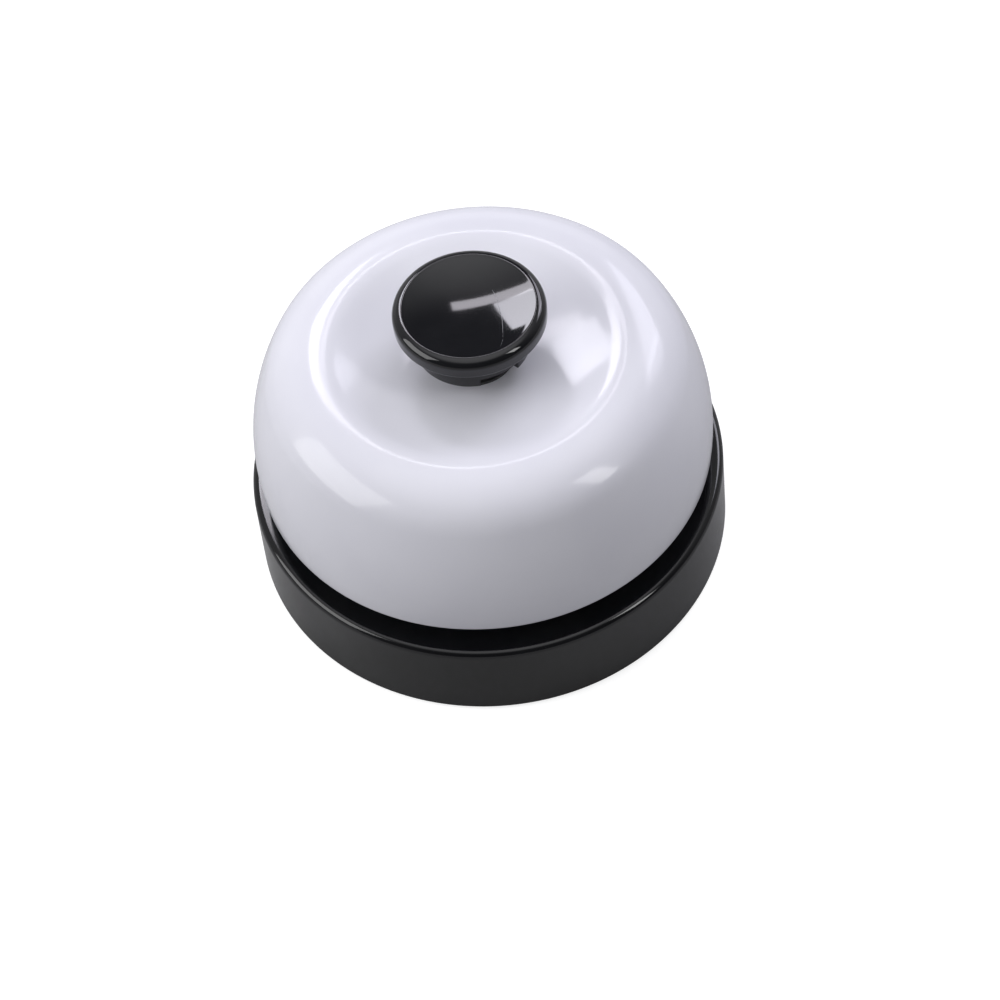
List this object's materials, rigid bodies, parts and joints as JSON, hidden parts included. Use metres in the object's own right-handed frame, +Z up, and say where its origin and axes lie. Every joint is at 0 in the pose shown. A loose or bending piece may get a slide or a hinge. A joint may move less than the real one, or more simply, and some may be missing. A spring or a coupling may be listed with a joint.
{
  "type": "service bell",
  "caption": "Counter service bell: a domed gong over a round moulded base, rung by a push button whose rod tips a sprung hammer lever inside.",
  "frame": {"origin": "middle of the footprint, on the table the feet rest on", "axes": "+Z up along the post; -Y is the front; the hammer swings in the XZ plane, on the +X side"},
  "size_m": [0.085, 0.085, 0.0576],
  "materials": {
    "black_plastic": "glossy moulded black plastic",
    "button_plastic": "polished black plastic",
    "white_enamel": "glossy white stove enamel on pressed steel",
    "zinc_steel": "bright zinc plated sheet steel",
    "turned_steel": "turned steel",
    "screw_steel": "zinc plated steel",
    "plated_nut": "nickel plated steel",
    "spring_steel": "oiled spring steel",
    "hammer_brass": "turned brass",
    "washer_nylon": "black nylon",
    "black_rubber": "matt rubber"
  },
  "bodies": {
    "base": {"base_housing": "black_plastic", "base_plate": "zinc_steel", "plate_screws": "screw_steel", "foot_pads": "black_rubber", "mechanism_bracket": "zinc_steel", "bracket_screws": "screw_steel", "centre_post": "turned_steel", "lock_washer": "spring_steel", "post_nut": "plated_nut", "seat_washer": "washer_nylon", "gong_dome": "white_enamel", "top_washer": "washer_nylon", "gong_nut": "plated_nut", "pivot_pin": "turned_steel", "pin_clip": "spring_steel", "pivot_spacers": "washer_nylon", "lever_spring": "spring_steel", "return_spring": "spring_steel"},
    "button": {"button_cap": "button_plastic", "plunger_rod": "turned_steel", "plunger_clip": "spring_steel"},
    "hammer": {"striker_lever": "zinc_steel", "hammer_head": "hammer_brass"}
  },
  "joints": [
    {"name": "button_press", "type": "slide", "parent": "base", "child": "button", "axis": [0, 0, -1], "range_m": [0, 0.0028], "deforming": ["return_spring"]},
    {"name": "hammer_swing", "type": "hinge", "parent": "base", "child": "hammer", "pos_m": [0.009, 0, 0.0268], "axis": [0, -1, 0], "range_deg": [0, 19.2], "deforming": ["lever_spring"]}
  ],
  "couplings": [
    {"joint": "hammer_swing", "follows": "button_press", "rad_per_m": 119.5}
  ]
}
